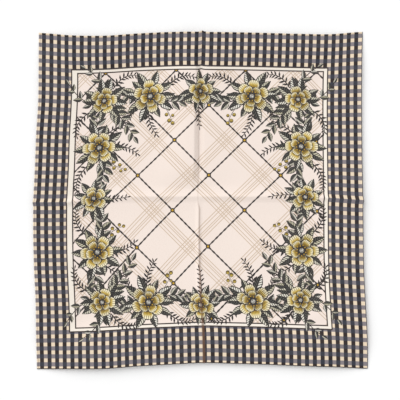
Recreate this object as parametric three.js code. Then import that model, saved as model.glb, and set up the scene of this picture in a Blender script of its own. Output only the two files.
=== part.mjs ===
import * as THREE from 'three';

// A square printed scarf, opened out and laid flat after being folded in four.
// Sizes are in millimetres. X runs to the right, Y away from the viewer and Z up from the table.
// Places on the cloth are measured along it from the point where its two creases cross.

// The hems, measured along the cloth from its creases: the folds lie a little off its middle.
const HEMS = { left: -348, right: 342, near: -346.5, far: 353.5 };
const SHEET_THICKNESS = 1.2;
const HEM_THICKNESS = 2.0;
const HEM_WIDTH = 4;

// Where the hems and the two creases lie on the table, each row one station further along.
// top, bottom and across are Y values from left to right,
// left, right and down are X values from bottom to top.
const LAY = [
  { top: 344.2, bottom: -348.1, across: -4.9, left: -336.7, right: 344.5, down: 5.6 },
  { top: 338.2, bottom: -347.1, across: -4, left: -337.7, right: 342.7, down: 4 },
  { top: 337.2, bottom: -346.5, across: 4.5, left: -338.8, right: 339, down: -1.2 },
  { top: 342, bottom: -341.3, across: 6.8, left: -342.1, right: 335.7, down: -3.4 },
  { top: 345.2, bottom: -337.6, across: 7.4, left: -343.7, right: 334.6, down: -4 },
  { top: 345.2, bottom: -334.3, across: 7.2, left: -343.4, right: 333.8, down: -3 },
  { top: 344.7, bottom: -336, across: 7.4, left: -340.4, right: 332.6, down: -2.2 },
  { top: 343.2, bottom: -338, across: 7.2, left: -337.7, right: 331.8, down: -2.4 },
  { top: 341.3, bottom: -340.9, across: 6.6, left: -333.2, right: 331.4, down: -1.4 },
  { top: 340.7, bottom: -343.2, across: 4, left: -332.6, right: 331.8, down: 1.8 },
  { top: 346.3, bottom: -347.3, across: -0.4, left: -332.8, right: 334, down: 3.6 },
];

// How high the cloth stands at the same stations: the swell along each hem, down to the table at each corner,
// the ridge across from left to right, and the crease down the middle from bottom to top,
// with the lip on each side of its upper half.
const RISE = [
  { top: 0, bottom: 0, left: 0, right: 0, across: 8, down: 7.2, leftLip: 0, rightLip: 0 },
  { top: 7, bottom: 9, left: 6, right: 8, across: 6.8, down: 5.8, leftLip: 0, rightLip: 0 },
  { top: 8, bottom: 11, left: 5, right: 7, across: 4.6, down: 4.2, leftLip: 0, rightLip: 0 },
  { top: 6, bottom: 11, left: 4, right: 7, across: 4.4, down: 3.8, leftLip: 0, rightLip: 0 },
  { top: 5, bottom: 10, left: 5, right: 7, across: 4.6, down: 2.9, leftLip: 0, rightLip: 0 },
  { top: 6, bottom: 9, left: 6, right: 8, across: 3.6, down: 1.5, leftLip: 2.6, rightLip: 1 },
  { top: 6, bottom: 9, left: 5, right: 7, across: 4.6, down: 0, leftLip: 7.4, rightLip: 1.8 },
  { top: 6, bottom: 9, left: 5, right: 6, across: 4.4, down: 0, leftLip: 8.8, rightLip: 2 },
  { top: 7, bottom: 10, left: 6, right: 6, across: 4.8, down: 0, leftLip: 9.2, rightLip: 2.6 },
  { top: 6, bottom: 8, left: 5, right: 6, across: 6.6, down: 0, leftLip: 9.4, rightLip: 4.8 },
  { top: 0, bottom: 0, left: 0, right: 0, across: 7.5, down: 0, leftLip: 9.2, rightLip: 5.6 },
];

// Soft folds in the four quarters: the middle of each, half its length and width, its turn and its rise.
const SOFT_FOLDS = [
  { x: -238, y: 296, halfLength: 125, halfWidth: 52, turn: 97, rise: 4.5 },
  { x: -188, y: -310, halfLength: 120, halfWidth: 46, turn: 80, rise: 4.5 },
  { x: 236, y: 300, halfLength: 115, halfWidth: 54, turn: 74, rise: 3.5 },
  { x: 268, y: -226, halfLength: 130, halfWidth: 50, turn: 38, rise: 3.5 },
  { x: -276, y: -112, halfLength: 100, halfWidth: 46, turn: 10, rise: 3.0 },
  { x: 128, y: -132, halfLength: 110, halfWidth: 48, turn: 128, rise: 1.8 },
];

const RIDGE_REACH = 38;
const CREST_RADIUS = 1.2;
// The steep sides of the ridges: each one's run, how straight its flank is, and its foot's share and reach.
const ACROSS_RUN = 12;
const DOWN_RUN = 7;
const STRAIGHTNESS = 1.3;
const FOOT_SHARE = 0.4;
const FOOT_REACH = 50;
const LEFT_LIP = { run: 14, reach: 112 };
const RIGHT_LIP = { run: 11, reach: 78 };
// The swell along a hem: how high the hem itself stands in it, where it is highest and where it ends.
const HEM_SHARE = 0.85;
const SWELL_CREST = 40;
const SWELL_REACH = 105;
// How far the ends of the creases stick out past the hems beside them.
const CREASE_ENDS = { left: 1.2, right: 1.8, top: 2.9, bottom: 0, reach: 17 };
const VALLEY_START = 60;
const RIDGE_END = 20;
const FLANK_ROUNDING = 1.12;
const BLEND_POWER = 3;

// Steps between the mesh's lines, from a crease outwards.
const FIRST_STEP = 2;
const STEP_GROWTH = 1.3;
const LONGEST_STEP = 24;
const HEM_STEPS = [HEM_WIDTH, 14, 26];

const column = (rows, name) => rows.map((row) => row[name]);
const lay = Object.fromEntries(Object.keys(LAY[0]).map((name) => [name, column(LAY, name)]));
const rise = Object.fromEntries(Object.keys(RISE[0]).map((name) => [name, column(RISE, name)]));

// A smooth curve through evenly spaced values, at a share of the way from the first to the last.
function along(values, share) {
  const last = values.length - 1;
  const place = Math.min(Math.max(share, 0), 1) * last;
  const index = Math.min(Math.floor(place), last - 1);
  const value = (i) => values[Math.min(Math.max(i, 0), last)];
  return catmullRom(place - index, value(index - 1), value(index), value(index + 1), value(index + 2));
}

function catmullRom(f, before, from, to, after) {
  const leave = (to - before) / 2;
  const arrive = (after - from) / 2;
  return from + leave * f + (3 * (to - from) - 2 * leave - arrive) * f ** 2
    + (2 * (from - to) + leave + arrive) * f ** 3;
}

const smooth = THREE.MathUtils.smoothstep;

// A sharp crest with hollow sides, 1 at its top and 0 past its reach.
function ridge(distance, reach) {
  const soft = Math.hypot(distance, CREST_RADIUS) - CREST_RADIUS;
  return Math.max(1 - soft / reach, 0) ** 3;
}

// A ridge's steep side: a nearly straight flank and a low foot, 1 at the crest and 0 past the foot.
function steepSide(distance, run) {
  const soft = Math.hypot(distance, CREST_RADIUS) - CREST_RADIUS;
  const flank = Math.max(1 - soft / run, 0) ** STRAIGHTNESS;
  const foot = Math.max(1 - soft / FOOT_REACH, 0) ** 2;
  return (1 - FOOT_SHARE) * flank + FOOT_SHARE * foot;
}

// A steep flank beside a valley crease, rounding over to a long slope down to the table.
function lip(distance, { run, reach }) {
  if (distance < run) return 1 - (1 - distance / run) ** FLANK_ROUNDING;
  const out = Math.min((distance - run) / (reach - run), 1);
  return (1 + Math.cos(Math.PI * out)) / 2;
}

// The border's swell, at a distance in from its hem: it slopes down to the hem and to the field.
function swell(distance) {
  const rise = HEM_SHARE + (1 - HEM_SHARE) * Math.sin(Math.PI / 2 * Math.min(distance / SWELL_CREST, 1));
  const out = THREE.MathUtils.clamp((distance - SWELL_CREST) / (SWELL_REACH - SWELL_CREST), 0, 1);
  return rise * (1 + Math.cos(Math.PI * out)) / 2;
}

function softFold(s, t, fold) {
  const turn = THREE.MathUtils.degToRad(fold.turn);
  const lengthwise = (s - fold.x) * Math.cos(turn) + (t - fold.y) * Math.sin(turn);
  const crosswise = (t - fold.y) * Math.cos(turn) - (s - fold.x) * Math.sin(turn);
  const distance = Math.hypot(lengthwise / fold.halfLength, crosswise / fold.halfWidth);
  return fold.rise * (1 + Math.cos(Math.PI * Math.min(distance, 1))) / 2;
}

// A place's share of the way from hem to hem, with the crease at one half.
const stationOf = (place, low, high) => 0.5 + place / (place < 0 ? -2 * low : 2 * high);

// The height of the cloth's underside above the table, at a place on the cloth.
function height(s, t) {
  const shareAcross = stationOf(s, HEMS.left, HEMS.right);
  const shareUp = stationOf(t, HEMS.near, HEMS.far);
  const upper = smooth(t, 0, VALLEY_START);
  const lower = smooth(-t, -RIDGE_END, 0);
  const sideLip = s < 0 ? lip(-s, LEFT_LIP) : lip(s, RIGHT_LIP);
  const lipRise = along(s < 0 ? rise.leftLip : rise.rightLip, shareUp);
  const parts = [
    along(rise.across, shareAcross) * (t < 0 ? steepSide(t, ACROSS_RUN) : ridge(t, RIDGE_REACH)),
    along(rise.down, shareUp) * lower * steepSide(s, DOWN_RUN),
    lipRise * upper * sideLip,
    along(rise.top, shareAcross) * swell(HEMS.far - t),
    along(rise.bottom, shareAcross) * swell(t - HEMS.near),
    along(rise.left, shareUp) * swell(s - HEMS.left),
    along(rise.right, shareUp) * swell(HEMS.right - s),
    ...SOFT_FOLDS.map((fold) => softFold(s, t, fold)),
  ];
  const sum = parts.reduce((total, part) => total + Math.max(part, 0) ** BLEND_POWER, 0);
  return sum ** (1 / BLEND_POWER);
}

// The mesh's lines from a crease out to a hem, close together at both.
function stepsTo(hem) {
  const out = [];
  let place = FIRST_STEP;
  let step = FIRST_STEP;
  while (place < hem - HEM_STEPS.at(-1) - FIRST_STEP) {
    out.push(place);
    step = Math.min(step * STEP_GROWTH, LONGEST_STEP);
    place += step;
  }
  return [...out, ...HEM_STEPS.map((inset) => hem - inset).reverse(), hem];
}

// The mesh's lines from one hem to the other.
const meshLines = (low, high) => [...stepsTo(-low).map((value) => -value).reverse(), 0, ...stepsTo(high)];

// How far along its crease-to-hem run each line lies on the table, from -1 to 1, with the slopes taken off.
function planShares(places, heights) {
  const crease = places.indexOf(0);
  const plan = places.map(() => 0);
  for (const side of [1, -1]) {
    for (let here = crease + side; here in places; here += side) {
      const climb = heights[here] - heights[here - side];
      const run = places[here] - places[here - side];
      plan[here] = plan[here - side] + side * Math.sqrt(run ** 2 - climb ** 2);
    }
  }
  return plan.map((value) => value / Math.abs(value < 0 ? plan[0] : plan.at(-1)));
}

// A place between two hems and the crease between them, at a share of the way along all three.
function between(share, names, station) {
  const [low, crease, high] = names.map((name) => along(lay[name], station));
  return crease + (share < 0 ? crease - low : high - crease) * share;
}

// How far a crease's stiff edge pushes the cloth out towards the hem, at a distance from the crease.
const endPush = (share, distance, low, high) => (
  (share < 0 ? -low : high) * share ** 2 * ridge(distance, CREASE_ENDS.reach)
);

// The underside, a grid of points laid out on the table.
function underside(columns, rows) {
  const heights = rows.map((t) => columns.map((s) => height(s, t)));
  const across = heights.map((line) => planShares(columns, line));
  const up = columns.map((_, i) => planShares(rows, heights.map((line) => line[i])));
  return rows.map((t, j) => columns.map((s, i) => {
    const shareX = across[j][i];
    const shareY = up[i][j];
    const stationX = (shareX + 1) / 2;
    const stationY = (shareY + 1) / 2;
    const x = between(shareX, ['left', 'down', 'right'], stationY);
    const y = between(shareY, ['bottom', 'across', 'top'], stationX);
    return new THREE.Vector3(
      x + endPush(shareX, t, CREASE_ENDS.left, CREASE_ENDS.right),
      y + endPush(shareY, s, CREASE_ENDS.bottom, CREASE_ENDS.top),
      heights[j][i],
    );
  }));
}

// The upper face, straight above each point by the cloth's thickness along its slope.
function upperFace(grid, columns, rows) {
  return grid.map((line, j) => line.map((point, i) => {
    const east = line[Math.min(i + 1, columns.length - 1)].clone().sub(line[Math.max(i - 1, 0)]);
    const north = grid[Math.min(j + 1, rows.length - 1)][i].clone().sub(grid[Math.max(j - 1, 0)][i]);
    const upright = east.cross(north).normalize().z;
    const onHem = i === 0 || j === 0 || i === columns.length - 1 || j === rows.length - 1;
    const thickness = onHem ? HEM_THICKNESS : SHEET_THICKNESS;
    return new THREE.Vector3(point.x, point.y, point.z + thickness / upright);
  }));
}

// The closed sheet: both faces and the wall round the hem.
function sheetGeometry() {
  const columns = meshLines(HEMS.left, HEMS.right);
  const rows = meshLines(HEMS.near, HEMS.far);
  const low = underside(columns, rows);
  const high = upperFace(low, columns, rows);
  const points = [...low.flat(), ...high.flat()];
  const wide = columns.length;
  const index = (i, j, level) => level * wide * rows.length + j * wide + i;
  const faces = [];
  const quad = (a, b, c, d) => faces.push(a, b, c, a, c, d);
  for (let j = 0; j < rows.length - 1; j += 1) {
    for (let i = 0; i < wide - 1; i += 1) {
      quad(index(i, j, 1), index(i + 1, j, 1), index(i + 1, j + 1, 1), index(i, j + 1, 1));
      quad(index(i, j, 0), index(i, j + 1, 0), index(i + 1, j + 1, 0), index(i + 1, j, 0));
    }
    quad(index(0, j, 0), index(0, j, 1), index(0, j + 1, 1), index(0, j + 1, 0));
    quad(index(wide - 1, j, 0), index(wide - 1, j + 1, 0), index(wide - 1, j + 1, 1), index(wide - 1, j, 1));
  }
  const back = rows.length - 1;
  for (let i = 0; i < wide - 1; i += 1) {
    quad(index(i, 0, 0), index(i + 1, 0, 0), index(i + 1, 0, 1), index(i, 0, 1));
    quad(index(i, back, 0), index(i, back, 1), index(i + 1, back, 1), index(i + 1, back, 0));
  }
  const geometry = new THREE.BufferGeometry();
  geometry.setAttribute('position', new THREE.Float32BufferAttribute(points.flatMap((p) => p.toArray()), 3));
  geometry.setIndex(faces);
  return onTheTable(geometry);
}

// Sets the origin under the middle of the laid-out cloth, at table height.
function onTheTable(geometry) {
  geometry.computeBoundingBox();
  const { min, max } = geometry.boundingBox;
  geometry.translate(-(min.x + max.x) / 2, -(min.y + max.y) / 2, -min.z);
  geometry.computeVertexNormals();
  return geometry;
}

const printedCloth = new THREE.MeshStandardMaterial({ color: 0xe9dccb, roughness: 0.7, metalness: 0 });
const scarf = new THREE.Mesh(sheetGeometry(), printedCloth);
scarf.name = 'scarf';

const group = new THREE.Group();
group.add(scarf);

export default group;
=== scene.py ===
"""A square printed scarf, opened out and lying flat, with the creases of a fold in four.

Sizes are in metres. Places on the cloth are measured along it from the point where its two creases cross:
s to the right and t away from the viewer.
"""
import math
import random
from collections import namedtuple

import bpy
import numpy as np
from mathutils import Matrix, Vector
from mathutils.geometry import delaunay_2d_cdt


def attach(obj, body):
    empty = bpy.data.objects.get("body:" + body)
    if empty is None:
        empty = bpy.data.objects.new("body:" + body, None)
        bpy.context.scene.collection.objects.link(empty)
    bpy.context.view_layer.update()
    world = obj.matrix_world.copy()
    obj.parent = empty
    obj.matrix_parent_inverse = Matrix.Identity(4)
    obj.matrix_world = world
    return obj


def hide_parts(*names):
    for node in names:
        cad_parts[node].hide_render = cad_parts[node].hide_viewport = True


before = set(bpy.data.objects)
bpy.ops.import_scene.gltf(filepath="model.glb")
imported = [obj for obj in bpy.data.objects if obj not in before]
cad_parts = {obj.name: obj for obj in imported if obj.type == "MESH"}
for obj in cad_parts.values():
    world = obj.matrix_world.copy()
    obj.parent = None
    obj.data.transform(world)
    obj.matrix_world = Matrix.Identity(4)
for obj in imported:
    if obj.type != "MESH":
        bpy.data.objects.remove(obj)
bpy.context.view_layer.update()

# The cloth and how it lies

CLOTH_WIDTH = 0.690
CLOTH_LENGTH = 0.700
# The folds lie a little off the middle of the cloth.
LEFT_EDGE, RIGHT_EDGE = -0.348, 0.342
NEAR_EDGE, FAR_EDGE = -0.3465, 0.3535
SHEET_THICKNESS = 0.0006
HEM_WIDTH = 0.0030
HEM_HEIGHT = 0.0017

# Where the hems and the two creases lie on the table, one value for each station along them.
# top, bottom and across are Y values from left to right,
# left, right and down are X values from bottom to top.
LAY = {
    "top": (
        0.3442, 0.3382, 0.3372, 0.3420, 0.3452, 0.3452, 0.3447, 0.3432, 0.3413, 0.3407, 0.3463,
    ),
    "bottom": (
        -0.3481, -0.3471, -0.3465, -0.3413, -0.3376, -0.3343, -0.3360, -0.3380, -0.3409, -0.3432, -0.3473,
    ),
    "across": (
        -0.0049, -0.0040, 0.0045, 0.0068, 0.0074, 0.0072, 0.0074, 0.0072, 0.0066, 0.0040, -0.0004,
    ),
    "left": (
        -0.3367, -0.3377, -0.3388, -0.3421, -0.3437, -0.3434, -0.3404, -0.3377, -0.3332, -0.3326, -0.3328,
    ),
    "right": (
        0.3445, 0.3427, 0.3390, 0.3357, 0.3346, 0.3338, 0.3326, 0.3318, 0.3314, 0.3318, 0.3340,
    ),
    "down": (
        0.0056, 0.0040, -0.0012, -0.0034, -0.0040, -0.0030, -0.0022, -0.0024, -0.0014, 0.0018, 0.0036,
    ),
}

# How high the cloth stands at the same stations: the swell along each hem, down to the table at each corner,
# the ridge across from left to right, and the crease down the middle from bottom to top,
# with the lip on each side of its upper half.
RISE = {
    "top": (0, 0.0070, 0.0080, 0.0060, 0.0050, 0.0060, 0.0060, 0.0060, 0.0070, 0.0060, 0),
    "bottom": (0, 0.0090, 0.0110, 0.0110, 0.0100, 0.0090, 0.0090, 0.0090, 0.0100, 0.0080, 0),
    "left": (0, 0.0060, 0.0050, 0.0040, 0.0050, 0.0060, 0.0050, 0.0050, 0.0060, 0.0050, 0),
    "right": (0, 0.0080, 0.0070, 0.0070, 0.0070, 0.0080, 0.0070, 0.0060, 0.0060, 0.0060, 0),
    "across": (0.0080, 0.0068, 0.0046, 0.0044, 0.0046, 0.0036, 0.0046, 0.0044, 0.0048, 0.0066, 0.0075),
    "down": (0.0072, 0.0058, 0.0042, 0.0038, 0.0029, 0.0015, 0, 0, 0, 0, 0),
    "left_lip": (0, 0, 0, 0, 0, 0.0026, 0.0074, 0.0088, 0.0092, 0.0094, 0.0092),
    "right_lip": (0, 0, 0, 0, 0, 0.0010, 0.0018, 0.0020, 0.0026, 0.0048, 0.0056),
}

# Soft folds in the four quarters: middle, half length, half width, turn in degrees and rise.
Fold = namedtuple("Fold", "s t half_length half_width turn rise")
SOFT_FOLDS = (
    Fold(-0.238, 0.296, 0.125, 0.052, 97, 0.0045),
    Fold(-0.188, -0.310, 0.120, 0.046, 80, 0.0045),
    Fold(0.236, 0.300, 0.115, 0.054, 74, 0.0035),
    Fold(0.268, -0.226, 0.130, 0.050, 38, 0.0035),
    Fold(-0.276, -0.112, 0.100, 0.046, 10, 0.0030),
    Fold(0.128, -0.132, 0.110, 0.048, 128, 0.0018),
)

# The crease ridges: reach of the soft side, how hollow that side is, and the radius of the crest.
RIDGE_REACH = 0.038
RIDGE_POWER = 3
CREST_RADIUS = 0.0012
# The steep sides of the ridges: the run of the flank of each, how straight a flank is,
# and the share, reach and curve of its foot.
ACROSS_RUN = 0.0120
DOWN_RUN = 0.0070
STRAIGHTNESS = 1.3
FOOT_SHARE = 0.40
FOOT_REACH = 0.050
FOOT_POWER = 2
# The lips beside the valley: the run of the steep flank and the reach of the long slope.
LEFT_LIP = {"run": 0.0140, "reach": 0.112}
RIGHT_LIP = {"run": 0.0110, "reach": 0.078}
# The swell along a hem: how high the hem itself stands in it, where it is highest and where it ends.
HEM_SHARE = 0.85
SWELL_CREST = 0.040
SWELL_REACH = 0.105
# How far the ends of the creases stick out past the hems beside them.
CREASE_ENDS = {"left": 0.0012, "right": 0.0018, "top": 0.0029, "bottom": 0.0, "reach": 0.017}
# Where the valley reaches its full depth, where the lower ridge ends, how round a lip is at its top,
# and how sharply the higher of two forms wins over the lower one.
VALLEY_START = 0.060
RIDGE_END = 0.020
FLANK_ROUNDING = 1.12
BLEND_POWER = 3

# Small waves of the sewn hem: height, reach from the edge, and the two wavelengths that they mix.
PUCKER_HEIGHT = 0.00035
PUCKER_REACH = 0.016
PUCKER_WAVES = (0.0173, 0.0291)

# The fine map of the cloth, then the mesh: its lines over the hem, and its steps from a crease outwards.
MAP_STEP = 0.0005
HEM_INSETS = (0.0003, 0.0008, 0.0015, 0.0022, 0.0027, 0.0030, 0.0042, 0.0070, 0.0120, 0.0180)
FIRST_STEP = 0.0012
FLANK_END = 0.020
STEP_GROWTH = 1.25
LONGEST_STEP = 0.007


def along(values, share):
    """A smooth curve through evenly spaced values, at a share of the way from the first to the last."""
    values = np.asarray(values, float)
    last = len(values) - 1
    place = np.clip(share, 0, 1) * last
    index = np.minimum(np.floor(place), last - 1).astype(int)
    f = place - index
    before, start, end, after = (values[np.clip(index + i, 0, last)] for i in (-1, 0, 1, 2))
    leave = (end - before) / 2
    arrive = (after - start) / 2
    return (start + leave * f + (3 * (end - start) - 2 * leave - arrive) * f ** 2
            + (2 * (start - end) + leave + arrive) * f ** 3)


def smooth(value, low, high):
    """0 under low, 1 over high and a smooth step between them."""
    f = np.clip((value - low) / (high - low), 0, 1)
    return f * f * (3 - 2 * f)


def ridge(distance, reach):
    """A sharp crest with hollow sides, 1 at its top and 0 past its reach."""
    soft = np.hypot(distance, CREST_RADIUS) - CREST_RADIUS
    return np.maximum(1 - soft / reach, 0) ** RIDGE_POWER


def steep_side(distance, run):
    """A ridge's steep side: a nearly straight flank and a low foot, 1 at the crest and 0 past the foot."""
    soft = np.hypot(distance, CREST_RADIUS) - CREST_RADIUS
    flank = np.maximum(1 - soft / run, 0) ** STRAIGHTNESS
    foot = np.maximum(1 - soft / FOOT_REACH, 0) ** FOOT_POWER
    return (1 - FOOT_SHARE) * flank + FOOT_SHARE * foot


def lip(distance, run, reach):
    """A steep flank beside a valley crease, rounding over to a long slope down to the table."""
    flank = 1 - np.maximum(1 - distance / run, 0) ** FLANK_ROUNDING
    out = np.clip((distance - run) / (reach - run), 0, 1)
    return np.where(distance < run, flank, (1 + np.cos(np.pi * out)) / 2)


def swell(distance):
    """The border's swell, at a distance in from its hem: it slopes down to the hem and to the field."""
    rise = HEM_SHARE + (1 - HEM_SHARE) * np.sin(np.pi / 2 * np.minimum(distance / SWELL_CREST, 1))
    out = np.clip((distance - SWELL_CREST) / (SWELL_REACH - SWELL_CREST), 0, 1)
    return rise * (1 + np.cos(np.pi * out)) / 2


def soft_fold(s, t, fold):
    """A low rounded fold with an oval foot."""
    turn = math.radians(fold.turn)
    lengthwise = (s - fold.s) * math.cos(turn) + (t - fold.t) * math.sin(turn)
    crosswise = (t - fold.t) * math.cos(turn) - (s - fold.s) * math.sin(turn)
    distance = np.hypot(lengthwise / fold.half_length, crosswise / fold.half_width)
    return fold.rise * (1 + np.cos(np.pi * np.minimum(distance, 1))) / 2


def station(place, low, high):
    """A place's share of the way from hem to hem, with the crease at one half."""
    return 0.5 + place / np.where(place < 0, -2 * low, 2 * high)


def height(s, t):
    """The height of the cloth's underside above the table."""
    share_across = station(s, LEFT_EDGE, RIGHT_EDGE)
    share_up = station(t, NEAR_EDGE, FAR_EDGE)
    upper = smooth(t, 0, VALLEY_START)
    lower = smooth(-t, -RIDGE_END, 0)
    left = along(RISE["left_lip"], share_up) * lip(np.abs(s), **LEFT_LIP)
    right = along(RISE["right_lip"], share_up) * lip(np.abs(s), **RIGHT_LIP)
    across = np.where(t < 0, steep_side(t, ACROSS_RUN), ridge(t, RIDGE_REACH))
    parts = [
        along(RISE["across"], share_across) * across,
        along(RISE["down"], share_up) * lower * steep_side(s, DOWN_RUN),
        upper * np.where(s < 0, left, right),
        along(RISE["top"], share_across) * swell(FAR_EDGE - t),
        along(RISE["bottom"], share_across) * swell(t - NEAR_EDGE),
        along(RISE["left"], share_up) * swell(s - LEFT_EDGE),
        along(RISE["right"], share_up) * swell(RIGHT_EDGE - s),
    ]
    parts += [soft_fold(s, t, fold) for fold in SOFT_FOLDS]
    return sum(np.maximum(part, 0) ** BLEND_POWER for part in parts) ** (1 / BLEND_POWER)


def hem_inset(s, t):
    """How far a place on the cloth is in from the nearest hem's edge."""
    across = np.minimum(s - LEFT_EDGE, RIGHT_EDGE - s)
    up = np.minimum(t - NEAR_EDGE, FAR_EDGE - t)
    return np.minimum(across, up)


def puckers(s, t):
    """Small uneven waves that the stitches pull into the hem, never below the table."""
    fade = np.exp(-hem_inset(s, t) / PUCKER_REACH)
    first, second = (1 + np.sin((s - t) * math.tau / wave + wave / MAP_STEP) for wave in PUCKER_WAVES)
    return PUCKER_HEIGHT * fade * first * second / 2


def plan_shares(places, heights):
    """Each place's share of its run from crease to hem on the table, -1 to 1, for each column of heights."""
    crease = np.argmin(np.abs(places))
    runs = np.sqrt(np.maximum(np.diff(places)[:, None] ** 2 - np.diff(heights, axis=0) ** 2, 0))
    plan = np.vstack([np.zeros(runs.shape[1]), np.cumsum(runs, axis=0)])
    plan -= plan[crease]
    return np.where(plan < 0, plan / -plan[0], plan / plan[-1])


def between(share, low, middle, high):
    """A place between two hems and the crease between them."""
    return middle + np.where(share < 0, middle - low, high - middle) * share


def end_push(share, distance, low, high):
    """How far a crease's stiff edge pushes the cloth out towards the hem, at a distance from the crease."""
    return np.where(share < 0, -low, high) * share ** 2 * ridge(distance, CREASE_ENDS["reach"])


class LaidCloth:
    """Where each place on the cloth is in the room, from a fine map of the underside."""

    def __init__(self):
        self.s = np.linspace(LEFT_EDGE, RIGHT_EDGE, round(CLOTH_WIDTH / MAP_STEP) + 1)
        self.t = np.linspace(NEAR_EDGE, FAR_EDGE, round(CLOTH_LENGTH / MAP_STEP) + 1)
        s, t = np.meshgrid(self.s, self.t)
        z = height(s, t)
        share_x = plan_shares(self.s, z.T).T
        share_y = plan_shares(self.t, z)
        station_x, station_y = (share_x + 1) / 2, (share_y + 1) / 2
        x = between(share_x, *(along(LAY[name], station_y) for name in ("left", "down", "right")))
        y = between(share_y, *(along(LAY[name], station_x) for name in ("bottom", "across", "top")))
        x += end_push(share_x, t, CREASE_ENDS["left"], CREASE_ENDS["right"])
        y += end_push(share_y, s, CREASE_ENDS["bottom"], CREASE_ENDS["top"])
        x -= (x.min() + x.max()) / 2
        y -= (y.min() + y.max()) / 2
        z += puckers(s, t) - z.min()
        self.places = np.stack([x, y, z], axis=-1)
        east = np.gradient(self.places, axis=1)
        north = np.gradient(self.places, axis=0)
        normals = np.cross(east, north)
        self.normals = normals / np.linalg.norm(normals, axis=-1, keepdims=True)

    def look_up(self, values, s, t):
        """Values of the map between its points."""
        column = np.clip((s - self.s[0]) / MAP_STEP, 0, len(self.s) - 1.000001)
        row = np.clip((t - self.t[0]) / MAP_STEP, 0, len(self.t) - 1.000001)
        i, j = column.astype(int), row.astype(int)
        f, g = (column - i)[:, None], (row - j)[:, None]
        low = values[j, i] * (1 - f) + values[j, i + 1] * f
        high = values[j + 1, i] * (1 - f) + values[j + 1, i + 1] * f
        return low * (1 - g) + high * g

    def face(self, s, t, above):
        """Points above the underside by a distance along the cloth's normal."""
        return self.look_up(self.places, s, t) + self.look_up(self.normals, s, t) * above[:, None]


def roll(inset):
    """The rolled hem's half height at a distance in from its edge, as a share of its full half height."""
    half = HEM_WIDTH / 2
    return np.sqrt(np.maximum(1 - (np.minimum(inset, HEM_WIDTH) - half) ** 2 / half ** 2, 0))


def upper_side(inset):
    """The upper face's height above the underside, over the rolled hem and the sheet."""
    rounded = HEM_HEIGHT / 2 * (1 + roll(inset))
    inner = np.maximum(rounded * (inset < HEM_WIDTH), SHEET_THICKNESS)
    return np.where(inset < HEM_WIDTH / 2, rounded, inner)


def under_side(inset):
    """The under face's height above the underside, which only leaves it round the outer edge of the hem."""
    return np.where(inset < HEM_WIDTH / 2, HEM_HEIGHT / 2 * (1 - roll(inset)), 0)


def steps_to(edge):
    """The mesh's lines from a crease to a hem, close together at both."""
    out = [FIRST_STEP]
    step = FIRST_STEP
    while out[-1] + step < edge - HEM_INSETS[-1] - FIRST_STEP:
        out.append(out[-1] + step)
        if out[-1] > FLANK_END:
            step = min(step * STEP_GROWTH, LONGEST_STEP)
    return out + [edge - inset for inset in reversed(HEM_INSETS)] + [edge]


def mesh_lines(low, high):
    """The mesh's lines from hem to hem."""
    return [-value for value in reversed(steps_to(-low))] + [0.0] + steps_to(high)


# The print: flowers and leaves

SEED = 11
PETAL, LEAF, DISC, BUD, INK, DOT = range(1, 7)
# One printed shape: its outline on the cloth, and its own root, length and half width as arrows.
Motif = namedtuple("Motif", "kind outline origin along across tone")

PETAL_POINTS = 9
LEAF_POINTS = 8
SPIKE_POINTS = 4
ROUND_POINTS = 14
BERRY_POINTS = 10
DOT_POINTS = 6
STEM_POINTS = 10
# How far out a blade is broadest and how blunt its ends are.
PETAL_SHAPE = (1.5, 0.6)
LEAF_SHAPE = (0.8, 1.0)
# The half width of a broad leaf and of a narrow leaflet, as shares of the length, and how far each leans out.
LEAF_WIDTH, LEAF_LEAN = 0.25, 0.75
LEAFLET_WIDTH, LEAFLET_LEAN = 0.17, 0.95
# Where the last leaf of a sprig sits, and its size beside the first ones.
TIP_SHARE, TIP_LENGTH, TIP_WIDTH = 0.97, 0.62, 0.6
# The widths of the stems, and how much a stem thins by its end.
SPRAY_STEM, FERN_STEM, BERRY_STEM = 0.0028, 0.0026, 0.0016
STEM_TAPER = 0.55
# How much smaller a sprig's leaves get towards its tip.
SPRIG_TAPER = 0.40
# Where a sprig's berries start, and how far they stand off its stem, in radii.
BERRY_START, BERRY_OFF = 0.35, 1.3
# How unevenly the motifs are drawn: turns and leans in radians, sizes as shares.
PETAL_TURNS, PETAL_WIDTHS, PETAL_LENGTHS = (-0.09, 0.09), (0.92, 1.08), (0.92, 1.05)
LEAF_TURNS, LEAF_LENGTHS, LEAF_LEANS = (-0.10, 0.10), (0.82, 1.10), (-0.2, 0.2)
SPRIG_LEANS, SPRIG_LENGTHS, BERRY_SIZES = (0.85, 1.15), (0.90, 1.08), (0.85, 1.1)
# A sprig's pairs: the first one's place and the room past the last one, both in pairs,
# and how far along the stem its two sides are shifted.
FIRST_PAIR, ROOM_PAST_LAST, SIDE_SHIFT = 0.6, 0.4, 0.02
# How far ahead and back along a curve its direction is read.
HEADING_STEP = 0.01
# The turn of a flower's inner petals against the outer ones, and its parts as shares of its radius.
INNER_TURN = 0.5
PETAL_WIDTH = 2.3
INNER_RADIUS = 0.66
DISC_RADIUS = 0.19
DOT_COUNT = 11
DOT_RING, DOT_STAGGER, DOT_RADIUS = 0.25, 0.05, 0.036

Flower = namedtuple("Flower", "radius outer inner leaves leaf_root leaf_length")
LARGE_FLOWER = Flower(0.0370, 6, 5, 10, 0.022, 0.036)
CORNER_FLOWER = Flower(0.0300, 5, 5, 9, 0.016, 0.034)
MIDDLE_FLOWER = Flower(0.0290, 5, 4, 10, 0.014, 0.032)


def turned(angle):
    """A unit vector at an angle in radians."""
    return np.array([math.cos(angle), math.sin(angle)])


def beside(direction):
    """The direction a quarter turn to the left."""
    return np.array([-direction[1], direction[0]])


BLADES = {
    PETAL: (PETAL_SHAPE, PETAL_POINTS),
    LEAF: (LEAF_SHAPE, LEAF_POINTS),
    INK: (LEAF_SHAPE, SPIKE_POINTS),
}


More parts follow.
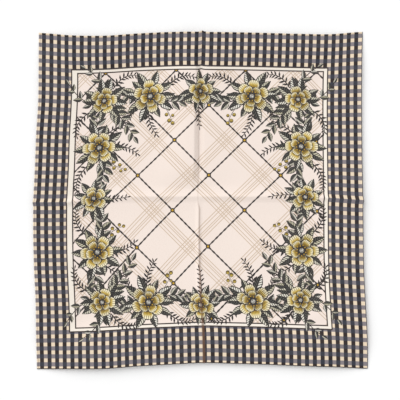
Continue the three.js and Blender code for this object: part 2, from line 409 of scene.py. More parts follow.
def blade(kind, origin, angle, length, half_width, tone=0.5):
    """A petal, a leaf or a plain dark leaflet."""
    (power, softness), points = BLADES[kind]
    direction = turned(angle)
    shares = (1 - np.cos(np.pi * np.arange(points + 1) / points)) / 2
    profile = np.sin(np.pi * shares ** power) ** softness
    reach = shares[:, None] * length * direction
    spread = half_width * profile[:, None] * beside(direction)
    outline = np.vstack([origin + reach - spread, (origin + reach + spread)[-2:0:-1]])
    yield Motif(kind, outline, np.array(origin), direction * length, beside(direction) * half_width, tone)


def round_motif(kind, centre, radius, points, tone=0.5):
    """A round shape."""
    angles = np.arange(points) / points * math.tau
    outline = centre + radius * np.column_stack([np.cos(angles), np.sin(angles)])
    yield Motif(kind, outline, np.array(centre), np.array([radius, 0.0]), np.array([0.0, radius]), tone)


def petals(centre, radius, count, turn, rng):
    """One ring of petals, each a little different."""
    for k in range(count):
        angle = turn + k * math.tau / count + rng.uniform(*PETAL_TURNS)
        width = PETAL_WIDTH / count * radius * rng.uniform(*PETAL_WIDTHS)
        length = radius * rng.uniform(*PETAL_LENGTHS)
        yield from blade(PETAL, centre, angle, length, width, rng.random())


def blossom(kind, centre, turn, rng):
    """A double flower round a seeded disc with a ring of gold dots."""
    yield from petals(centre, kind.radius, kind.outer, turn, rng)
    yield from petals(centre, INNER_RADIUS * kind.radius, kind.inner, turn + INNER_TURN, rng)
    yield from round_motif(DISC, centre, DISC_RADIUS * kind.radius, ROUND_POINTS)
    for k in range(DOT_COUNT):
        ring = kind.radius * (DOT_RING + DOT_STAGGER * (k % 2))
        dot = centre + turned(turn + k * math.tau / DOT_COUNT) * ring
        yield from round_motif(DOT, dot, DOT_RADIUS * kind.radius, DOT_POINTS)


def leaf_ring(kind, centre, turn, rng):
    """Leaves that stand out all round a flower."""
    for k in range(kind.leaves):
        angle = turn + (k + 0.5) * math.tau / kind.leaves + rng.uniform(*LEAF_TURNS)
        size = kind.leaf_length * rng.uniform(*LEAF_LENGTHS)
        root = centre + turned(angle) * kind.leaf_root
        lean = rng.uniform(*LEAF_LEANS)
        yield from blade(LEAF, root, angle + lean, size, size * LEAF_WIDTH, rng.random())


def flower(kind, centre, turn, leaf_turn, rng):
    """A flower over its ring of leaves."""
    yield from leaf_ring(kind, np.array(centre), leaf_turn, rng)
    yield from blossom(kind, np.array(centre), turn, rng)


def curve(start, bend, end, share):
    """A point on a curve from start to end that leans towards bend."""
    start, bend, end = (np.array(point) for point in (start, bend, end))
    return start * (1 - share) ** 2 + 2 * bend * share * (1 - share) + end * share ** 2


def heading(start, bend, end, share):
    """The curve's direction in radians."""
    ahead = curve(start, bend, end, share + HEADING_STEP) - curve(start, bend, end, share - HEADING_STEP)
    return math.atan2(ahead[1], ahead[0])


def stem(path, width):
    """A line that thins towards its end."""
    shares = np.arange(STEM_POINTS + 1) / STEM_POINTS
    middle = np.array([curve(*path, share) for share in shares])
    side = np.array([beside(turned(heading(*path, share))) for share in shares])
    reach = side * (width * (1 - STEM_TAPER * shares) / 2)[:, None]
    outline = np.vstack([middle - reach, (middle + reach)[::-1]])
    yield Motif(INK, outline, middle[0], np.array([width, 0.0]), np.array([0.0, width]), 0.5)


def paired(path, pairs, length, width_share, lean, kind, rng):
    """Pairs of leaves along a stem that grow smaller towards its end, and one at the tip."""
    for k in range(pairs):
        share = (k + FIRST_PAIR) / (pairs + ROOM_PAST_LAST)
        size = length * (1 - SPRIG_TAPER * share)
        for side in (-1, 1):
            root = curve(*path, share + SIDE_SHIFT * side)
            angle = heading(*path, share) + side * lean * rng.uniform(*SPRIG_LEANS)
            leaf = size * rng.uniform(*SPRIG_LENGTHS)
            yield from blade(kind, root, angle, leaf, leaf * width_share, rng.random())
    tip, tip_angle = curve(*path, TIP_SHARE), heading(*path, TIP_SHARE)
    yield from blade(kind, tip, tip_angle, length * TIP_LENGTH, length * width_share * TIP_WIDTH)


def spray(path, pairs, length, rng):
    """A stem of broad leaves."""
    yield from stem(path, SPRAY_STEM)
    yield from paired(path, pairs, length, LEAF_WIDTH, LEAF_LEAN, LEAF, rng)


def fern(path, pairs, length, rng):
    """A stem of many narrow dark leaflets."""
    yield from stem(path, FERN_STEM)
    yield from paired(path, pairs, length, LEAFLET_WIDTH, LEAFLET_LEAN, INK, rng)


def berries(path, count, size, rng):
    """A stem with round berries on both sides and one at its tip."""
    yield from stem(path, BERRY_STEM)
    for k in range(count):
        share = BERRY_START + (1 - BERRY_START) * k / (count - 1)
        away = 0 if k == count - 1 else size * (BERRY_OFF if k % 2 else -BERRY_OFF)
        middle = curve(*path, share) + beside(turned(heading(*path, share))) * away
        radius = size * rng.uniform(*BERRY_SIZES)
        yield from round_motif(BUD, middle, radius, BERRY_POINTS, rng.random())


# The sprigs of one half of a quarter: kind, path along the cloth, number of pairs or berries, and their size.
HALF_SPRIGS = (
    (fern, ((0.110, 0.200), (0.118, 0.160), (0.092, 0.132)), 8, 0.015),
    (fern, ((0.130, 0.205), (0.160, 0.180), (0.156, 0.150)), 7, 0.013),
    (fern, ((0.075, 0.236), (0.046, 0.268), (0.016, 0.256)), 8, 0.014),
    (fern, ((0.190, 0.236), (0.168, 0.272), (0.138, 0.262)), 7, 0.014),
    (berries, ((0.084, 0.200), (0.066, 0.180), (0.060, 0.158)), 5, 0.0042),
    (spray, ((0.090, 0.212), (0.052, 0.196), (0.026, 0.212)), 4, 0.030),
    (spray, ((0.132, 0.230), (0.160, 0.214), (0.186, 0.226)), 3, 0.030),
    (spray, ((0.222, 0.200), (0.262, 0.214), (0.284, 0.250)), 3, 0.024),
)
DIAGONAL_SPRAY = (((0.196, 0.198), (0.168, 0.176), (0.140, 0.128)), 5, 0.031)
# The flowers of a quarter: kind, middle, and the turns of the petals and of the leaves.
QUARTER_FLOWERS = (
    (LARGE_FLOWER, (0.110, 0.217), 0.3, 0.3),
    (LARGE_FLOWER, (0.214, 0.110), 1.0, 1.0),
    (CORNER_FLOWER, (0.208, 0.212), 0.5, 0.2),
)
# The flowers at the ends of the creases: how far out they are, then the fern that points in from each.
MIDDLE_OUT_ACROSS, MIDDLE_OUT_UP = 0.221, 0.226
INWARD_FERN_BEND, INWARD_FERN_END, INWARD_FERN_LEAN = 0.190, 0.148, 0.008
INWARD_FERN_SIZE = (8, 0.014)


def mirrored(motif, flip_s, flip_t):
    """The same motif on the other side of a crease."""
    flip = np.array([flip_s, flip_t])
    outline = motif.outline * flip
    if flip_s * flip_t < 0:
        outline = outline[::-1]
    return motif._replace(outline=outline, origin=motif.origin * flip, along=motif.along * flip,
                          across=motif.across * flip)


def crossed(points):
    """The same path on the other side of the quarter's diagonal."""
    return tuple((t, s) for s, t in points)


def quarter(rng):
    """The flowers and leaves of one quarter, from those that lie lowest to the topmost."""
    for turn_over in (tuple, crossed):
        for draw, path, count, size in HALF_SPRIGS:
            yield from draw(turn_over(path), count, size, rng)
    yield from spray(*DIAGONAL_SPRAY, rng)
    for kind, centre, turn, leaf_turn in QUARTER_FLOWERS:
        yield from flower(kind, centre, turn, leaf_turn, rng)


def middles(rng):
    """The small flowers that close each side at the ends of the creases."""
    for side in range(4):
        out = turned(side * math.tau / 4)
        centre = out * (MIDDLE_OUT_UP if side % 2 else MIDDLE_OUT_ACROSS)
        away = math.atan2(out[1], out[0])
        bend = out * INWARD_FERN_BEND + beside(out) * INWARD_FERN_LEAN
        yield from fern((centre, bend, out * INWARD_FERN_END), *INWARD_FERN_SIZE, rng)
        yield from flower(MIDDLE_FLOWER, centre, away, away, rng)


def printed_motifs():
    """Every motif on the cloth in printing order: the quarter four times over, then the middles."""
    rng = random.Random(SEED)
    one = list(quarter(rng))
    motifs = [mirrored(motif, flip_s, flip_t) for flip_s in (-1, 1) for flip_t in (-1, 1) for motif in one]
    return motifs + list(middles(rng))


# The scarf's mesh

BAKE_FRONT = {"corner": (0.006, 0.006), "scale": 0.700 / CLOTH_LENGTH}
BAKE_BACK = {"corner": (0.712, 0.006), "scale": 0.280 / CLOTH_LENGTH}


def triangulated(motifs):
    """The flat cloth cut along the motifs' outlines: its places, its triangles and the motif of each."""
    columns = mesh_lines(LEFT_EDGE, RIGHT_EDGE)
    points = [Vector((s, t)) for t in mesh_lines(NEAR_EDGE, FAR_EDGE) for s in columns]
    faces = []
    for motif in motifs:
        faces.append(list(range(len(points), len(points) + len(motif.outline))))
        points += [Vector(point) for point in motif.outline]
    places, _, triangles, _, _, sources = delaunay_2d_cdt(points, [], faces, 0, 1e-7, True)
    topmost = np.array([max(source, default=-1) for source in sources])
    return np.array([tuple(place) for place in places]), np.array(triangles), topmost


def motif_values(motifs, places, triangles, topmost):
    """For each corner of each triangle: its place in its motif's own frame, the motif's kind and its tone."""
    corners = places[triangles]
    values = np.zeros(corners.shape[:2] + (4,))
    drawn = topmost >= 0
    which = topmost[drawn]
    origin, lengthwise, crosswise = (np.array([getattr(motif, name) for motif in motifs])[which][:, None]
                                     for name in ("origin", "along", "across"))
    offset = corners[drawn] - origin
    for column, axis in enumerate((lengthwise, crosswise)):
        values[drawn, :, column] = np.sum(offset * axis, axis=-1) / np.sum(axis * axis, axis=-1)
    values[drawn, :, 2] = np.array([motif.kind for motif in motifs])[which][:, None]
    values[drawn, :, 3] = np.array([motif.tone for motif in motifs])[which][:, None]
    return values


def bake_place(places, layout):
    """Where a place on the cloth lies in the baked picture."""
    corner = np.array([LEFT_EDGE, NEAR_EDGE])
    return np.array(layout["corner"]) + (places - corner) * layout["scale"]


def add_corner_values(mesh, name, kind, values):
    """Stores one value for each corner of each triangle."""
    attribute = mesh.attributes.new(name, kind, "CORNER")
    attribute.data.foreach_set("value" if kind == "FLOAT" else "vector", values.astype(np.float32).ravel())


def scarf_mesh():
    """The thin closed sheet: an upper and a lower face of the same triangles, joined round the hem's edge."""
    motifs = printed_motifs()
    places, triangles, topmost = triangulated(motifs)
    s, t = places.T
    inset = hem_inset(s, t)
    cloth = LaidCloth()
    upper = cloth.face(s, t, upper_side(inset))
    lower = cloth.face(s, t, under_side(inset))
    inside = inset > 1e-6
    twin = np.arange(len(places))
    twin[inside] = len(places) + np.arange(inside.sum())
    points = np.vstack([upper, lower[inside]])
    faces = np.vstack([triangles, twin[triangles[:, ::-1]]])

    mesh = bpy.data.meshes.new("scarf_cloth")
    mesh.from_pydata(points.tolist(), [], faces.tolist())
    values = motif_values(motifs, places, triangles, topmost)
    values = np.concatenate([values, values[:, ::-1]])
    corners = np.concatenate([places[triangles], places[triangles[:, ::-1]]])
    side = np.repeat([1.0, 0.0], len(triangles))[:, None, None] * np.ones((1, 3, 1))
    add_corner_values(mesh, "cloth", "FLOAT_VECTOR", np.concatenate([corners, side], axis=2))
    add_corner_values(mesh, "motif", "FLOAT_VECTOR", values[:, :, :3])
    add_corner_values(mesh, "tone", "FLOAT", values[:, :, 3])
    baked = np.concatenate([bake_place(places[triangles], BAKE_FRONT),
                            bake_place(places[triangles[:, ::-1]], BAKE_BACK)])
    mesh.uv_layers.new(name="OFBake").data.foreach_set("uv", baked.astype(np.float32).ravel())
    mesh.shade_smooth()
    mesh.validate()
    return mesh


# The cloth's material

# The check: how often it repeats from hem to hem,
# and how far its first light column and row are off the creases, in repeats.
REPEATS_ACROSS, REPEATS_UP = 42.51, 42.1
START_SHIFT = 0.26
PERIOD_ACROSS = CLOTH_WIDTH / REPEATS_ACROSS
PERIOD_UP = CLOTH_LENGTH / REPEATS_UP
COLUMN_START = -START_SHIFT * PERIOD_ACROSS
ROW_START = START_SHIFT * PERIOD_UP
# The half width of a light column or row and of its soft edge, in repeats.
LIGHT_SHARE = 0.237
CHECK_EDGE = 0.022
# The border's inner edges, in repeats from the first column and row, then the dark lines and the pale strip.
SIDE_REPEATS, NEAR_REPEATS, FAR_REPEATS = 16.95, 16.57, 16.70
FRAME_LEFT = COLUMN_START - SIDE_REPEATS * PERIOD_ACROSS
FRAME_RIGHT = COLUMN_START + SIDE_REPEATS * PERIOD_ACROSS
FRAME_NEAR = ROW_START - NEAR_REPEATS * PERIOD_UP
FRAME_FAR = ROW_START + FAR_REPEATS * PERIOD_UP
KEYLINE = 0.0026
STRIPS = {"left": 0.0102, "right": 0.0066, "near": 0.0050, "far": 0.0050}
# The tan groups: from group to group, where the first of each direction lies, their lines and a line's width.
TAN_PITCH = 0.1065
TAN_START = (0.0168, -0.0486)
TAN_LINES = (-0.0111, -0.0055, 0.0016, 0.0056, 0.0111)
TAN_WIDTH = 0.0015
# The dark lattice: its place beside the tan groups, its width, how its cord swells and the size of its knots.
LATTICE_PLACE = 0.0300
LATTICE_WIDTH = 0.0030
CORD_PITCH = 0.0120
CORD_SWELL = 0.22
KNOT_SIZE = 0.0046
# Painted shade along the crease, a brown line: its place, width and strength below the middle, how much wider
# and stronger it gets towards the near hem and where, and its place and strength above the middle.
CREASE_SHADE_PLACE = 0.0016
CREASE_SHADE_WIDTH = 0.0044
CREASE_SHADE_DEPTH = 0.42
CREASE_SHADE_WIDER = 1 / 3
CREASE_SHADE_DEEPER = 0.7
CREASE_SHADE_FADE = (-0.300, -0.080)
CREASE_SHADE_SOFTNESS = (0.2, 1.3)
CREASE_SHADE_JOIN = (-0.030, -0.005)
CREASE_SHADE_PLACE_ABOVE = -0.0024
CREASE_SHADE_DEPTH_ABOVE = 0.13
# Painted shade: a brown-black line over the last check at the near and right hems' edges, the sides of the
# rolled hem turned away from the key light.
NEAR_HEM_SHADE = 0.0018
RIGHT_HEM_SHADE = 0.0012
# Half the soft edge of a printed line.
PRINT_EDGE = 0.0002

# The motifs' drawing. Along a blade its root is 0 and its tip 1, and out from its middle line its edge is 1.
PETAL_GOLD = (0.20, 0.62)
PETAL_PALE = (0.52, 0.78)
PETAL_CREAM_TIP = (0.66, 0.86)
PETAL_CREAM_RIM = (0.44, 0.78)
PETAL_INK_RIM = (0.78, 0.83)
PETAL_INK_TIP = (0.930, 0.942)
# The pen strokes that fan out from a petal's root, and the short ones at its tip.
STROKES, STROKE_WEIGHT, STROKE_EDGE = 4.5, 0.78, (-0.03, 0.06)
STROKE_FAN = 0.25
STROKE_REACH, STROKE_REACH_SPREAD = 0.76, 0.26
TICKS, TICK_WIDTH, TICK_START = 3.5, 0.13, (0.72, 0.78)
VEINS, VEIN_SLANT = 6.5, 0.22
LIT_VEIN, SHADED_VEIN, MIDRIB = 0.19, 0.09, 0.10
LEAF_INK_RIM = (0.72, 0.80)
LEAF_HALVES = (-0.05, 0.05)
PEN_EDGE, MIDRIB_EDGE = 0.05, 0.03
SEED_SCALE, SEED_STEP, DISC_INK = 5.0, (0.45, 0.55), (0.45, 0.75)
BUD_SHADE, BUD_BEND, BUD_STROKES, BUD_STROKE, BUD_INK = (-0.7, 0.6), 0.4, 2.0, 0.12, (0.70, 0.78)

# The cloth's surface: how much paler the print is on the back and where it took unevenly,
# then its roughness and its weave.
BACK_PALENESS = 0.35
UNEVEN_SCALE, UNEVEN_SHARE = 28.0, 0.06
ROUGHNESS, ROUGHNESS_SPREAD, ROUGHNESS_SCALE = 0.52, 0.12, 60.0
GLOSS, SHEEN, SHEEN_ROUGHNESS = 0.12, 0.04, 0.5
TWILL_PITCH, TWILL_SLANT = 0.0007, 0.6
THREAD_SCALE = 900.0
WEAVE_STRENGTH, WEAVE_DEPTH = 0.25, 0.0001
NOISE_DETAIL = 2.0

# How much brighter than its own colour the cloth shows in the scene's light.
LIGHT_LEVEL = 1.10


def ink(red, green, blue):
    """The linear colour, by the sRGB curve, that the light brings to these screen values, 0 to 255."""
    return tuple(((c / 255 + 0.055) / 1.055) ** 2.4 / LIGHT_LEVEL for c in (red, green, blue)) + (1.0,)


CREAM_GROUND = ink(247, 232, 222)
STRIP_CREAM = ink(248, 239, 227)
CHECK_CREAM = ink(238, 219, 192)
CHECK_GREY = ink(134, 127, 132)
CHECK_BROWN = ink(32, 21, 22)
CHECK_SLATE = ink(42, 48, 62)
KEYLINE_BROWN = ink(46, 34, 32)
TAN = ink(208, 186, 162)
CREASE_SHADE_BROWN = ink(120, 88, 66)
LINE_INK = ink(36, 33, 34)
GOLD = ink(196, 156, 44)
PALE_GOLD = ink(222, 194, 92)
PETAL_CREAM = ink(250, 240, 205)
OLIVE = ink(104, 84, 26)
LEAF_PALE = ink(242, 238, 226)
LEAF_OLIVE = ink(204, 198, 170)
LEAF_GREY = ink(112, 114, 106)
LEAF_DARK = ink(30, 31, 31)


class Nodes:
    """A few short calls that add shader nodes and join them."""

    def __init__(self, tree):
        self.tree = tree

    def add(self, kind, **settings):
        node = self.tree.nodes.new(kind)
        for name, value in settings.items():
            setattr(node, name, value)
        return node

    def feed(self, socket, value):
        """Joins a socket to another one, or sets its value."""
        if isinstance(value, bpy.types.NodeSocket):
            self.tree.links.new(value, socket)
        else:
            socket.default_value = value

    def maths(self, operation, *values):
        node = self.add("ShaderNodeMath", operation=operation)
        for socket, value in zip(node.inputs, values):
            self.feed(socket, value)
        return node.outputs[0]

    def mix(self, share, low, high):
        node = self.add("ShaderNodeMix", data_type="RGBA")
        self.feed(node.inputs["Factor"], share)
        self.feed(node.inputs[6], low)
        self.feed(node.inputs[7], high)
        return node.outputs[2]

    def step(self, value, low, high):
        """0 where value is under low, 1 where it is over high, and smooth between them."""
        node = self.add("ShaderNodeMapRange", interpolation_type="SMOOTHSTEP")
        for name, number in (("Value", value), ("From Min", low), ("From Max", high)):
            self.feed(node.inputs[name], number)
        return node.outputs["Result"]

    def under(self, value, limit, edge):
        """1 where value is well under a limit, 0 where it is well over it."""
        return self.maths("SUBTRACT", 1.0, self.step(value, limit - edge, limit + edge))

    def off_centre(self, value, period=1.0):
        """The distance of value from the nearest whole number of periods."""
        wrapped = self.maths("WRAP", value, period / 2, -period / 2)
        return self.maths("ABSOLUTE", wrapped)

    def length(self, across, up):
        """The length of the arrow with these two parts."""
        squares = self.maths("ADD", self.maths("MULTIPLY", across, across), self.maths("MULTIPLY", up, up))
        return self.maths("SQRT", squares)

    def attribute(self, name):
        return self.add("ShaderNodeAttribute", attribute_name=name)

    def split(self, vector):
        node = self.add("ShaderNodeSeparateXYZ")
        self.feed(node.inputs[0], vector)
        return node.outputs

    def join(self, *values):
        node = self.add("ShaderNodeCombineXYZ")
        for socket, value in zip(node.inputs, values):
            self.feed(socket, value)
        return node.outputs[0]

    def noise(self, vector, scale):
        node = self.add("ShaderNodeTexNoise")
        self.feed(node.inputs["Vector"], vector)
        node.inputs["Scale"].default_value = scale
        node.inputs["Detail"].default_value = NOISE_DETAIL
        return node.outputs["Fac"]


def checks(n, s, t):
    """The even check of the border: cream, grey, brown-black and slate, with painted shade along the near and
    right hems' edges.
    """
    across = n.maths("DIVIDE", n.maths("SUBTRACT", s, COLUMN_START), PERIOD_ACROSS)
    up = n.maths("DIVIDE", n.maths("SUBTRACT", t, ROW_START), PERIOD_UP)
    column = n.under(n.off_centre(across), LIGHT_SHARE, CHECK_EDGE)
    row = n.under(n.off_centre(up), LIGHT_SHARE, CHECK_EDGE)
    light_column = n.mix(row, CHECK_GREY, CHECK_CREAM)
    dark_column = n.mix(row, CHECK_SLATE, CHECK_BROWN)
    result = n.mix(column, dark_column, light_column)
    # Painted shade: a brown-black line along the near and right hems' edges, where the rolled hem is in
    # shade.
    for place, limit in ((n.maths("SUBTRACT", t, NEAR_EDGE), NEAR_HEM_SHADE),
                         (n.maths("SUBTRACT", RIGHT_EDGE, s), RIGHT_HEM_SHADE)):
        result = n.mix(n.under(place, limit, PRINT_EDGE), result, CHECK_BROWN)
    return result


def field(n, s, t):
    """The field: groups of tan lines on the bias, a dark cord beside each and a knot where cords cross."""
    result = CREAM_GROUND
    bias = []
    for kind, start in zip(("ADD", "SUBTRACT"), TAN_START):
        distance = n.maths("SUBTRACT", n.maths("MULTIPLY", n.maths(kind, s, t), math.sqrt(0.5)), start)
        bias.append(distance)
        for place in TAN_LINES:
            off = n.off_centre(n.maths("SUBTRACT", distance, place), TAN_PITCH)
            result = n.mix(n.under(off, TAN_WIDTH / 2, TAN_WIDTH / 4), result, TAN)
    centred = [n.maths("SUBTRACT", distance, LATTICE_PLACE) for distance in bias]
    across, up = (n.off_centre(distance, TAN_PITCH) for distance in centred)
    for off, lengthwise in ((across, centred[1]), (up, centred[0])):
        wave = n.maths("SINE", n.maths("MULTIPLY", lengthwise, math.tau / CORD_PITCH))
        size = n.maths("ADD", n.maths("MULTIPLY", wave, CORD_SWELL), 1.0)
        half = n.maths("MULTIPLY", size, LATTICE_WIDTH / 2)
        result = n.mix(n.under(n.maths("SUBTRACT", off, half), 0.0, LATTICE_WIDTH / 6), result, LINE_INK)
    knot = n.length(across, up)
    result = n.mix(n.under(knot, KNOT_SIZE, PRINT_EDGE), result, LINE_INK)
    return n.mix(n.under(knot, KNOT_SIZE / 2, PRINT_EDGE), result, GOLD)


def ground_colour(n, s, t):
    """The whole cloth without its flowers: border, dark lines, strip and field."""
    insides = {"left": n.maths("SUBTRACT", s, FRAME_LEFT), "right": n.maths("SUBTRACT", FRAME_RIGHT, s),
               "near": n.maths("SUBTRACT", t, FRAME_NEAR), "far": n.maths("SUBTRACT", FRAME_FAR, t)}
    result = checks(n, s, t)
    for lines, strips, colour in ((0, 0, KEYLINE_BROWN), (1, 0, STRIP_CREAM), (1, 1, KEYLINE_BROWN),
                                  (2, 1, field(n, s, t))):
        left, right, near, far = (n.maths("SUBTRACT", inside, lines * KEYLINE + strips * STRIPS[side])
                                  for side, inside in insides.items())
        inside = n.maths("MINIMUM", n.maths("MINIMUM", left, right), n.maths("MINIMUM", near, far))
        result = n.mix(n.step(inside, -PRINT_EDGE, PRINT_EDGE), result, colour)
    return result


def rim_share(n, u, v, power, softness):
    """How near a place is to a blade's outline: 0 at its middle line and 1 at its edge."""
    profile = n.maths("SINE", n.maths("MULTIPLY", n.maths("POWER", u, power), math.pi))
    profile = n.maths("POWER", n.maths("MAXIMUM", profile, 0.0001), softness)
    return n.maths("DIVIDE", n.maths("ABSOLUTE", v), profile)


def petal_colour(n, u, v, tone):
    """Gold with a dark root, a cream rim and pen strokes that fan out from the root."""
    rim = rim_share(n, u, v, *PETAL_SHAPE)
    result = n.mix(n.step(u, *PETAL_GOLD), OLIVE, GOLD)
    result = n.mix(n.step(u, *PETAL_PALE), result, PALE_GOLD)
    cream = n.maths("MAXIMUM", n.step(u, *PETAL_CREAM_TIP), n.step(rim, *PETAL_CREAM_RIM))
    result = n.mix(cream, result, PETAL_CREAM)
    fan = n.maths("DIVIDE", v, n.maths("ADD", u, STROKE_FAN))
    stroke = n.off_centre(n.maths("MULTIPLY", fan, STROKES))
    reach = n.maths("ADD", STROKE_REACH, n.maths("MULTIPLY", tone, STROKE_REACH_SPREAD))
    weight = n.maths("MULTIPLY", STROKE_WEIGHT, n.maths("SUBTRACT", 1.0, n.maths("DIVIDE", u, reach)))
    result = n.mix(n.step(n.maths("SUBTRACT", weight, stroke), *STROKE_EDGE), result, LINE_INK)
    tick = n.off_centre(n.maths("ADD", n.maths("MULTIPLY", v, TICKS), 0.5))
    ticks = n.maths("MULTIPLY", n.under(tick, TICK_WIDTH, PEN_EDGE), n.step(u, *TICK_START))
    result = n.mix(ticks, result, OLIVE)
    edge = n.maths("MAXIMUM", n.step(rim, *PETAL_INK_RIM), n.step(u, *PETAL_INK_TIP))
    return n.mix(edge, result, LINE_INK)


def leaf_colour(n, u, v, tone):
    """A pale half with dark veins and a dark half with grey ones, in an ink outline."""
    slant = n.maths("SUBTRACT", u, n.maths("MULTIPLY", n.maths("ABSOLUTE", v), VEIN_SLANT))
    vein = n.off_centre(n.maths("MULTIPLY", slant, VEINS))
    lit = n.mix(n.under(vein, LIT_VEIN, PEN_EDGE), n.mix(tone, LEAF_PALE, LEAF_OLIVE), LINE_INK)
    shaded = n.mix(n.under(vein, SHADED_VEIN, PEN_EDGE), LEAF_DARK, LEAF_GREY)
    result = n.mix(n.step(v, *LEAF_HALVES), shaded, lit)
    rim = rim_share(n, u, v, *LEAF_SHAPE)
    midrib = n.under(n.maths("ABSOLUTE", v), MIDRIB, MIDRIB_EDGE)
    return n.mix(n.maths("MAXIMUM", n.step(rim, *LEAF_INK_RIM), midrib), result, LINE_INK)


def disc_colour(n, u, v):
    """Pale and dark seeds, with a dark edge."""
    seeds = n.noise(n.join(u, v, 0.0), SEED_SCALE)
    result = n.mix(n.step(seeds, *SEED_STEP), LEAF_DARK, LEAF_PALE)
    return n.mix(n.step(n.length(u, v), *DISC_INK), result, LINE_INK)


def bud_colour(n, u, v):
    """Gold with curved strokes, in an ink outline."""
    result = n.mix(n.step(v, *BUD_SHADE), OLIVE, PALE_GOLD)
    bent = n.maths("ADD", u, n.maths("MULTIPLY", n.maths("MULTIPLY", v, v), BUD_BEND))
    stroke = n.off_centre(n.maths("MULTIPLY", bent, BUD_STROKES))
    result = n.mix(n.under(stroke, BUD_STROKE, PEN_EDGE), result, OLIVE)
    return n.mix(n.step(n.length(u, v), *BUD_INK), result, LINE_INK)


def painted_crease_shade(n, s, t, colour):
    """Painted shade along the crease: a brown line, faint above the middle and strong below it."""
    above = n.step(t, *CREASE_SHADE_JOIN)
    depth = n.maths("SUBTRACT", 1.0, n.step(t, *CREASE_SHADE_FADE))
    half = n.maths("ADD", CREASE_SHADE_WIDTH / 2, n.maths("MULTIPLY", depth, CREASE_SHADE_WIDTH * CREASE_SHADE_WIDER))
    shift = n.maths("MULTIPLY", above, CREASE_SHADE_PLACE_ABOVE - CREASE_SHADE_PLACE)
    off = n.maths("ABSOLUTE", n.maths("SUBTRACT", n.maths("SUBTRACT", s, CREASE_SHADE_PLACE), shift))
    line = n.maths("SUBTRACT", 1.0, n.step(n.maths("DIVIDE", off, half), *CREASE_SHADE_SOFTNESS))
    weight = n.maths("ADD", CREASE_SHADE_DEPTH, n.maths("MULTIPLY", depth, CREASE_SHADE_DEPTH * CREASE_SHADE_DEEPER))
    weight = n.maths("SUBTRACT", weight, n.maths("MULTIPLY", above, CREASE_SHADE_DEPTH - CREASE_SHADE_DEPTH_ABOVE))
    return n.mix(n.maths("MULTIPLY", line, weight), colour, CREASE_SHADE_BROWN)


def print_colour(n, s, t):
    """The ground with the flowers over it."""
    u, v, kind = n.split(n.attribute("motif").outputs["Vector"])
    tone = n.attribute("tone").outputs["Fac"]
    result = ground_colour(n, s, t)
    colours = {
        PETAL: petal_colour(n, u, v, tone),
        LEAF: leaf_colour(n, u, v, tone),
        DISC: disc_colour(n, u, v),
        BUD: bud_colour(n, u, v),
        INK: LINE_INK,
        DOT: GOLD,
    }
    for number, colour in colours.items():
        result = n.mix(n.maths("COMPARE", kind, float(number), 0.25), result, colour)
    return result


def weave(n, s, t):
    """The height of the fine twill and its threads."""
    slanted = n.maths("ADD", s, n.maths("MULTIPLY", t, TWILL_SLANT))
    twill = n.maths("SINE", n.maths("MULTIPLY", slanted, math.tau / TWILL_PITCH))
    bump = n.add("ShaderNodeBump")
    bump.inputs["Strength"].default_value = WEAVE_STRENGTH
    bump.inputs["Distance"].default_value = WEAVE_DEPTH
    n.feed(bump.inputs["Height"], n.maths("ADD", twill, n.noise(n.join(s, t, 0.0), THREAD_SCALE)))
    return bump.outputs["Normal"]


def cloth_material():
    """Fine printed twill: the print, slightly uneven in its ink and paler on the back, over a soft weave."""
    material = bpy.data.materials.new("printed_twill")
    material.use_nodes = True
    n = Nodes(material.node_tree)
    n.tree.nodes.clear()
    s, t, front = n.split(n.attribute("cloth").outputs["Vector"])
    place = n.join(s, t, 0.0)
    colour = print_colour(n, s, t)
    back = n.maths("MULTIPLY", n.maths("SUBTRACT", 1.0, front), BACK_PALENESS)
    colour = n.mix(back, colour, CREAM_GROUND)
    uneven = n.maths("MULTIPLY", n.noise(place, UNEVEN_SCALE), UNEVEN_SHARE)
    # Painted shade along the crease, as a brown line over the print.
    colour = painted_crease_shade(n, s, t, n.mix(uneven, colour, CREAM_GROUND))
    rough = n.maths("MULTIPLY", n.noise(place, ROUGHNESS_SCALE), ROUGHNESS_SPREAD)

    shader = n.add("ShaderNodeBsdfPrincipled")
    n.feed(shader.inputs["Base Color"], colour)
    n.feed(shader.inputs["Roughness"], n.maths("ADD", ROUGHNESS, rough))
    n.feed(shader.inputs["Normal"], weave(n, s, t))
    shader.inputs["Specular IOR Level"].default_value = GLOSS
    shader.inputs["Sheen Weight"].default_value = SHEEN
    shader.inputs["Sheen Roughness"].default_value = SHEEN_ROUGHNESS
    output = n.add("ShaderNodeOutputMaterial")
    n.feed(output.inputs["Surface"], shader.outputs["BSDF"])
    return material


def add_scarf():
    """The scarf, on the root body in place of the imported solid."""
    scarf = bpy.data.objects.new("scarf_cloth", scarf_mesh())
    bpy.context.scene.collection.objects.link(scarf)
    scarf.data.materials.append(cloth_material())
    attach(scarf, "root")
    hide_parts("scarf")


# Floor, light and camera

FLOOR_SIZE = 60.0
FLOOR_GAP = 0.0002
FLOOR_WHITE = (0.93, 0.93, 0.93, 1.0)
FLOOR_ROUGHNESS, FLOOR_GLOSS = 0.9, 0.1
WORLD_STRENGTH = 0.77
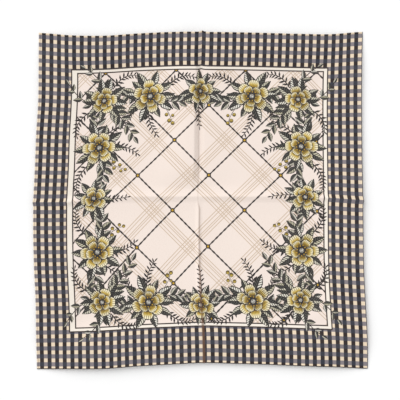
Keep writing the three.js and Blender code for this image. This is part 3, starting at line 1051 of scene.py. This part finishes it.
# The key light's strength and softness, its height and its turn to the left of straight ahead, in degrees.
KEY_STRENGTH = 1.75
KEY_SOFTNESS = 50
KEY_HEIGHT = 36
KEY_TURN = 44
CAMERA_HEIGHT = 2.2
CAMERA_CENTRE = (-0.0009, 0.0)
FRAME_WIDTH = 0.824
SENSOR_WIDTH = 0.036
MILLIMETRES = 1000


def add_floor():
    """A plain pale table top."""
    half = FLOOR_SIZE / 2
    corners = [(x * half, y * half, -FLOOR_GAP) for x, y in ((-1, -1), (1, -1), (1, 1), (-1, 1))]
    mesh = bpy.data.meshes.new("table_top")
    mesh.from_pydata(corners, [], [range(4)])
    floor = bpy.data.objects.new("table_top", mesh)
    bpy.context.scene.collection.objects.link(floor)
    material = bpy.data.materials.new("white_table")
    material.use_nodes = True
    shader = material.node_tree.nodes["Principled BSDF"]
    shader.inputs["Base Color"].default_value = FLOOR_WHITE
    shader.inputs["Roughness"].default_value = FLOOR_ROUGHNESS
    shader.inputs["Specular IOR Level"].default_value = FLOOR_GLOSS
    mesh.materials.append(material)


def add_light():
    """Even white light from all round, and a wide soft key light from beyond the far left corner."""
    world = bpy.data.worlds.new("white_room")
    world.use_nodes = True
    background = world.node_tree.nodes["Background"]
    background.inputs["Color"].default_value = (1.0, 1.0, 1.0, 1.0)
    background.inputs["Strength"].default_value = WORLD_STRENGTH
    bpy.context.scene.world = world
    lamp = bpy.data.lights.new("key_light", "SUN")
    lamp.energy = KEY_STRENGTH
    lamp.angle = math.radians(KEY_SOFTNESS)
    key = bpy.data.objects.new("key_light", lamp)
    key.rotation_euler = (math.radians(KEY_HEIGHT - 90), 0, math.radians(KEY_TURN))
    bpy.context.scene.collection.objects.link(key)


def add_camera():
    """Straight above the scarf, with its far hem at the top of the picture."""
    data = bpy.data.cameras.new("camera")
    data.sensor_width = SENSOR_WIDTH * MILLIMETRES
    data.lens = data.sensor_width * CAMERA_HEIGHT / FRAME_WIDTH
    camera = bpy.data.objects.new("camera", data)
    camera.location = (*CAMERA_CENTRE, CAMERA_HEIGHT)
    bpy.context.scene.collection.objects.link(camera)
    bpy.context.scene.camera = camera


add_scarf()
add_floor()
add_light()
add_camera()
bpy.context.scene.view_settings.view_transform = "Standard"
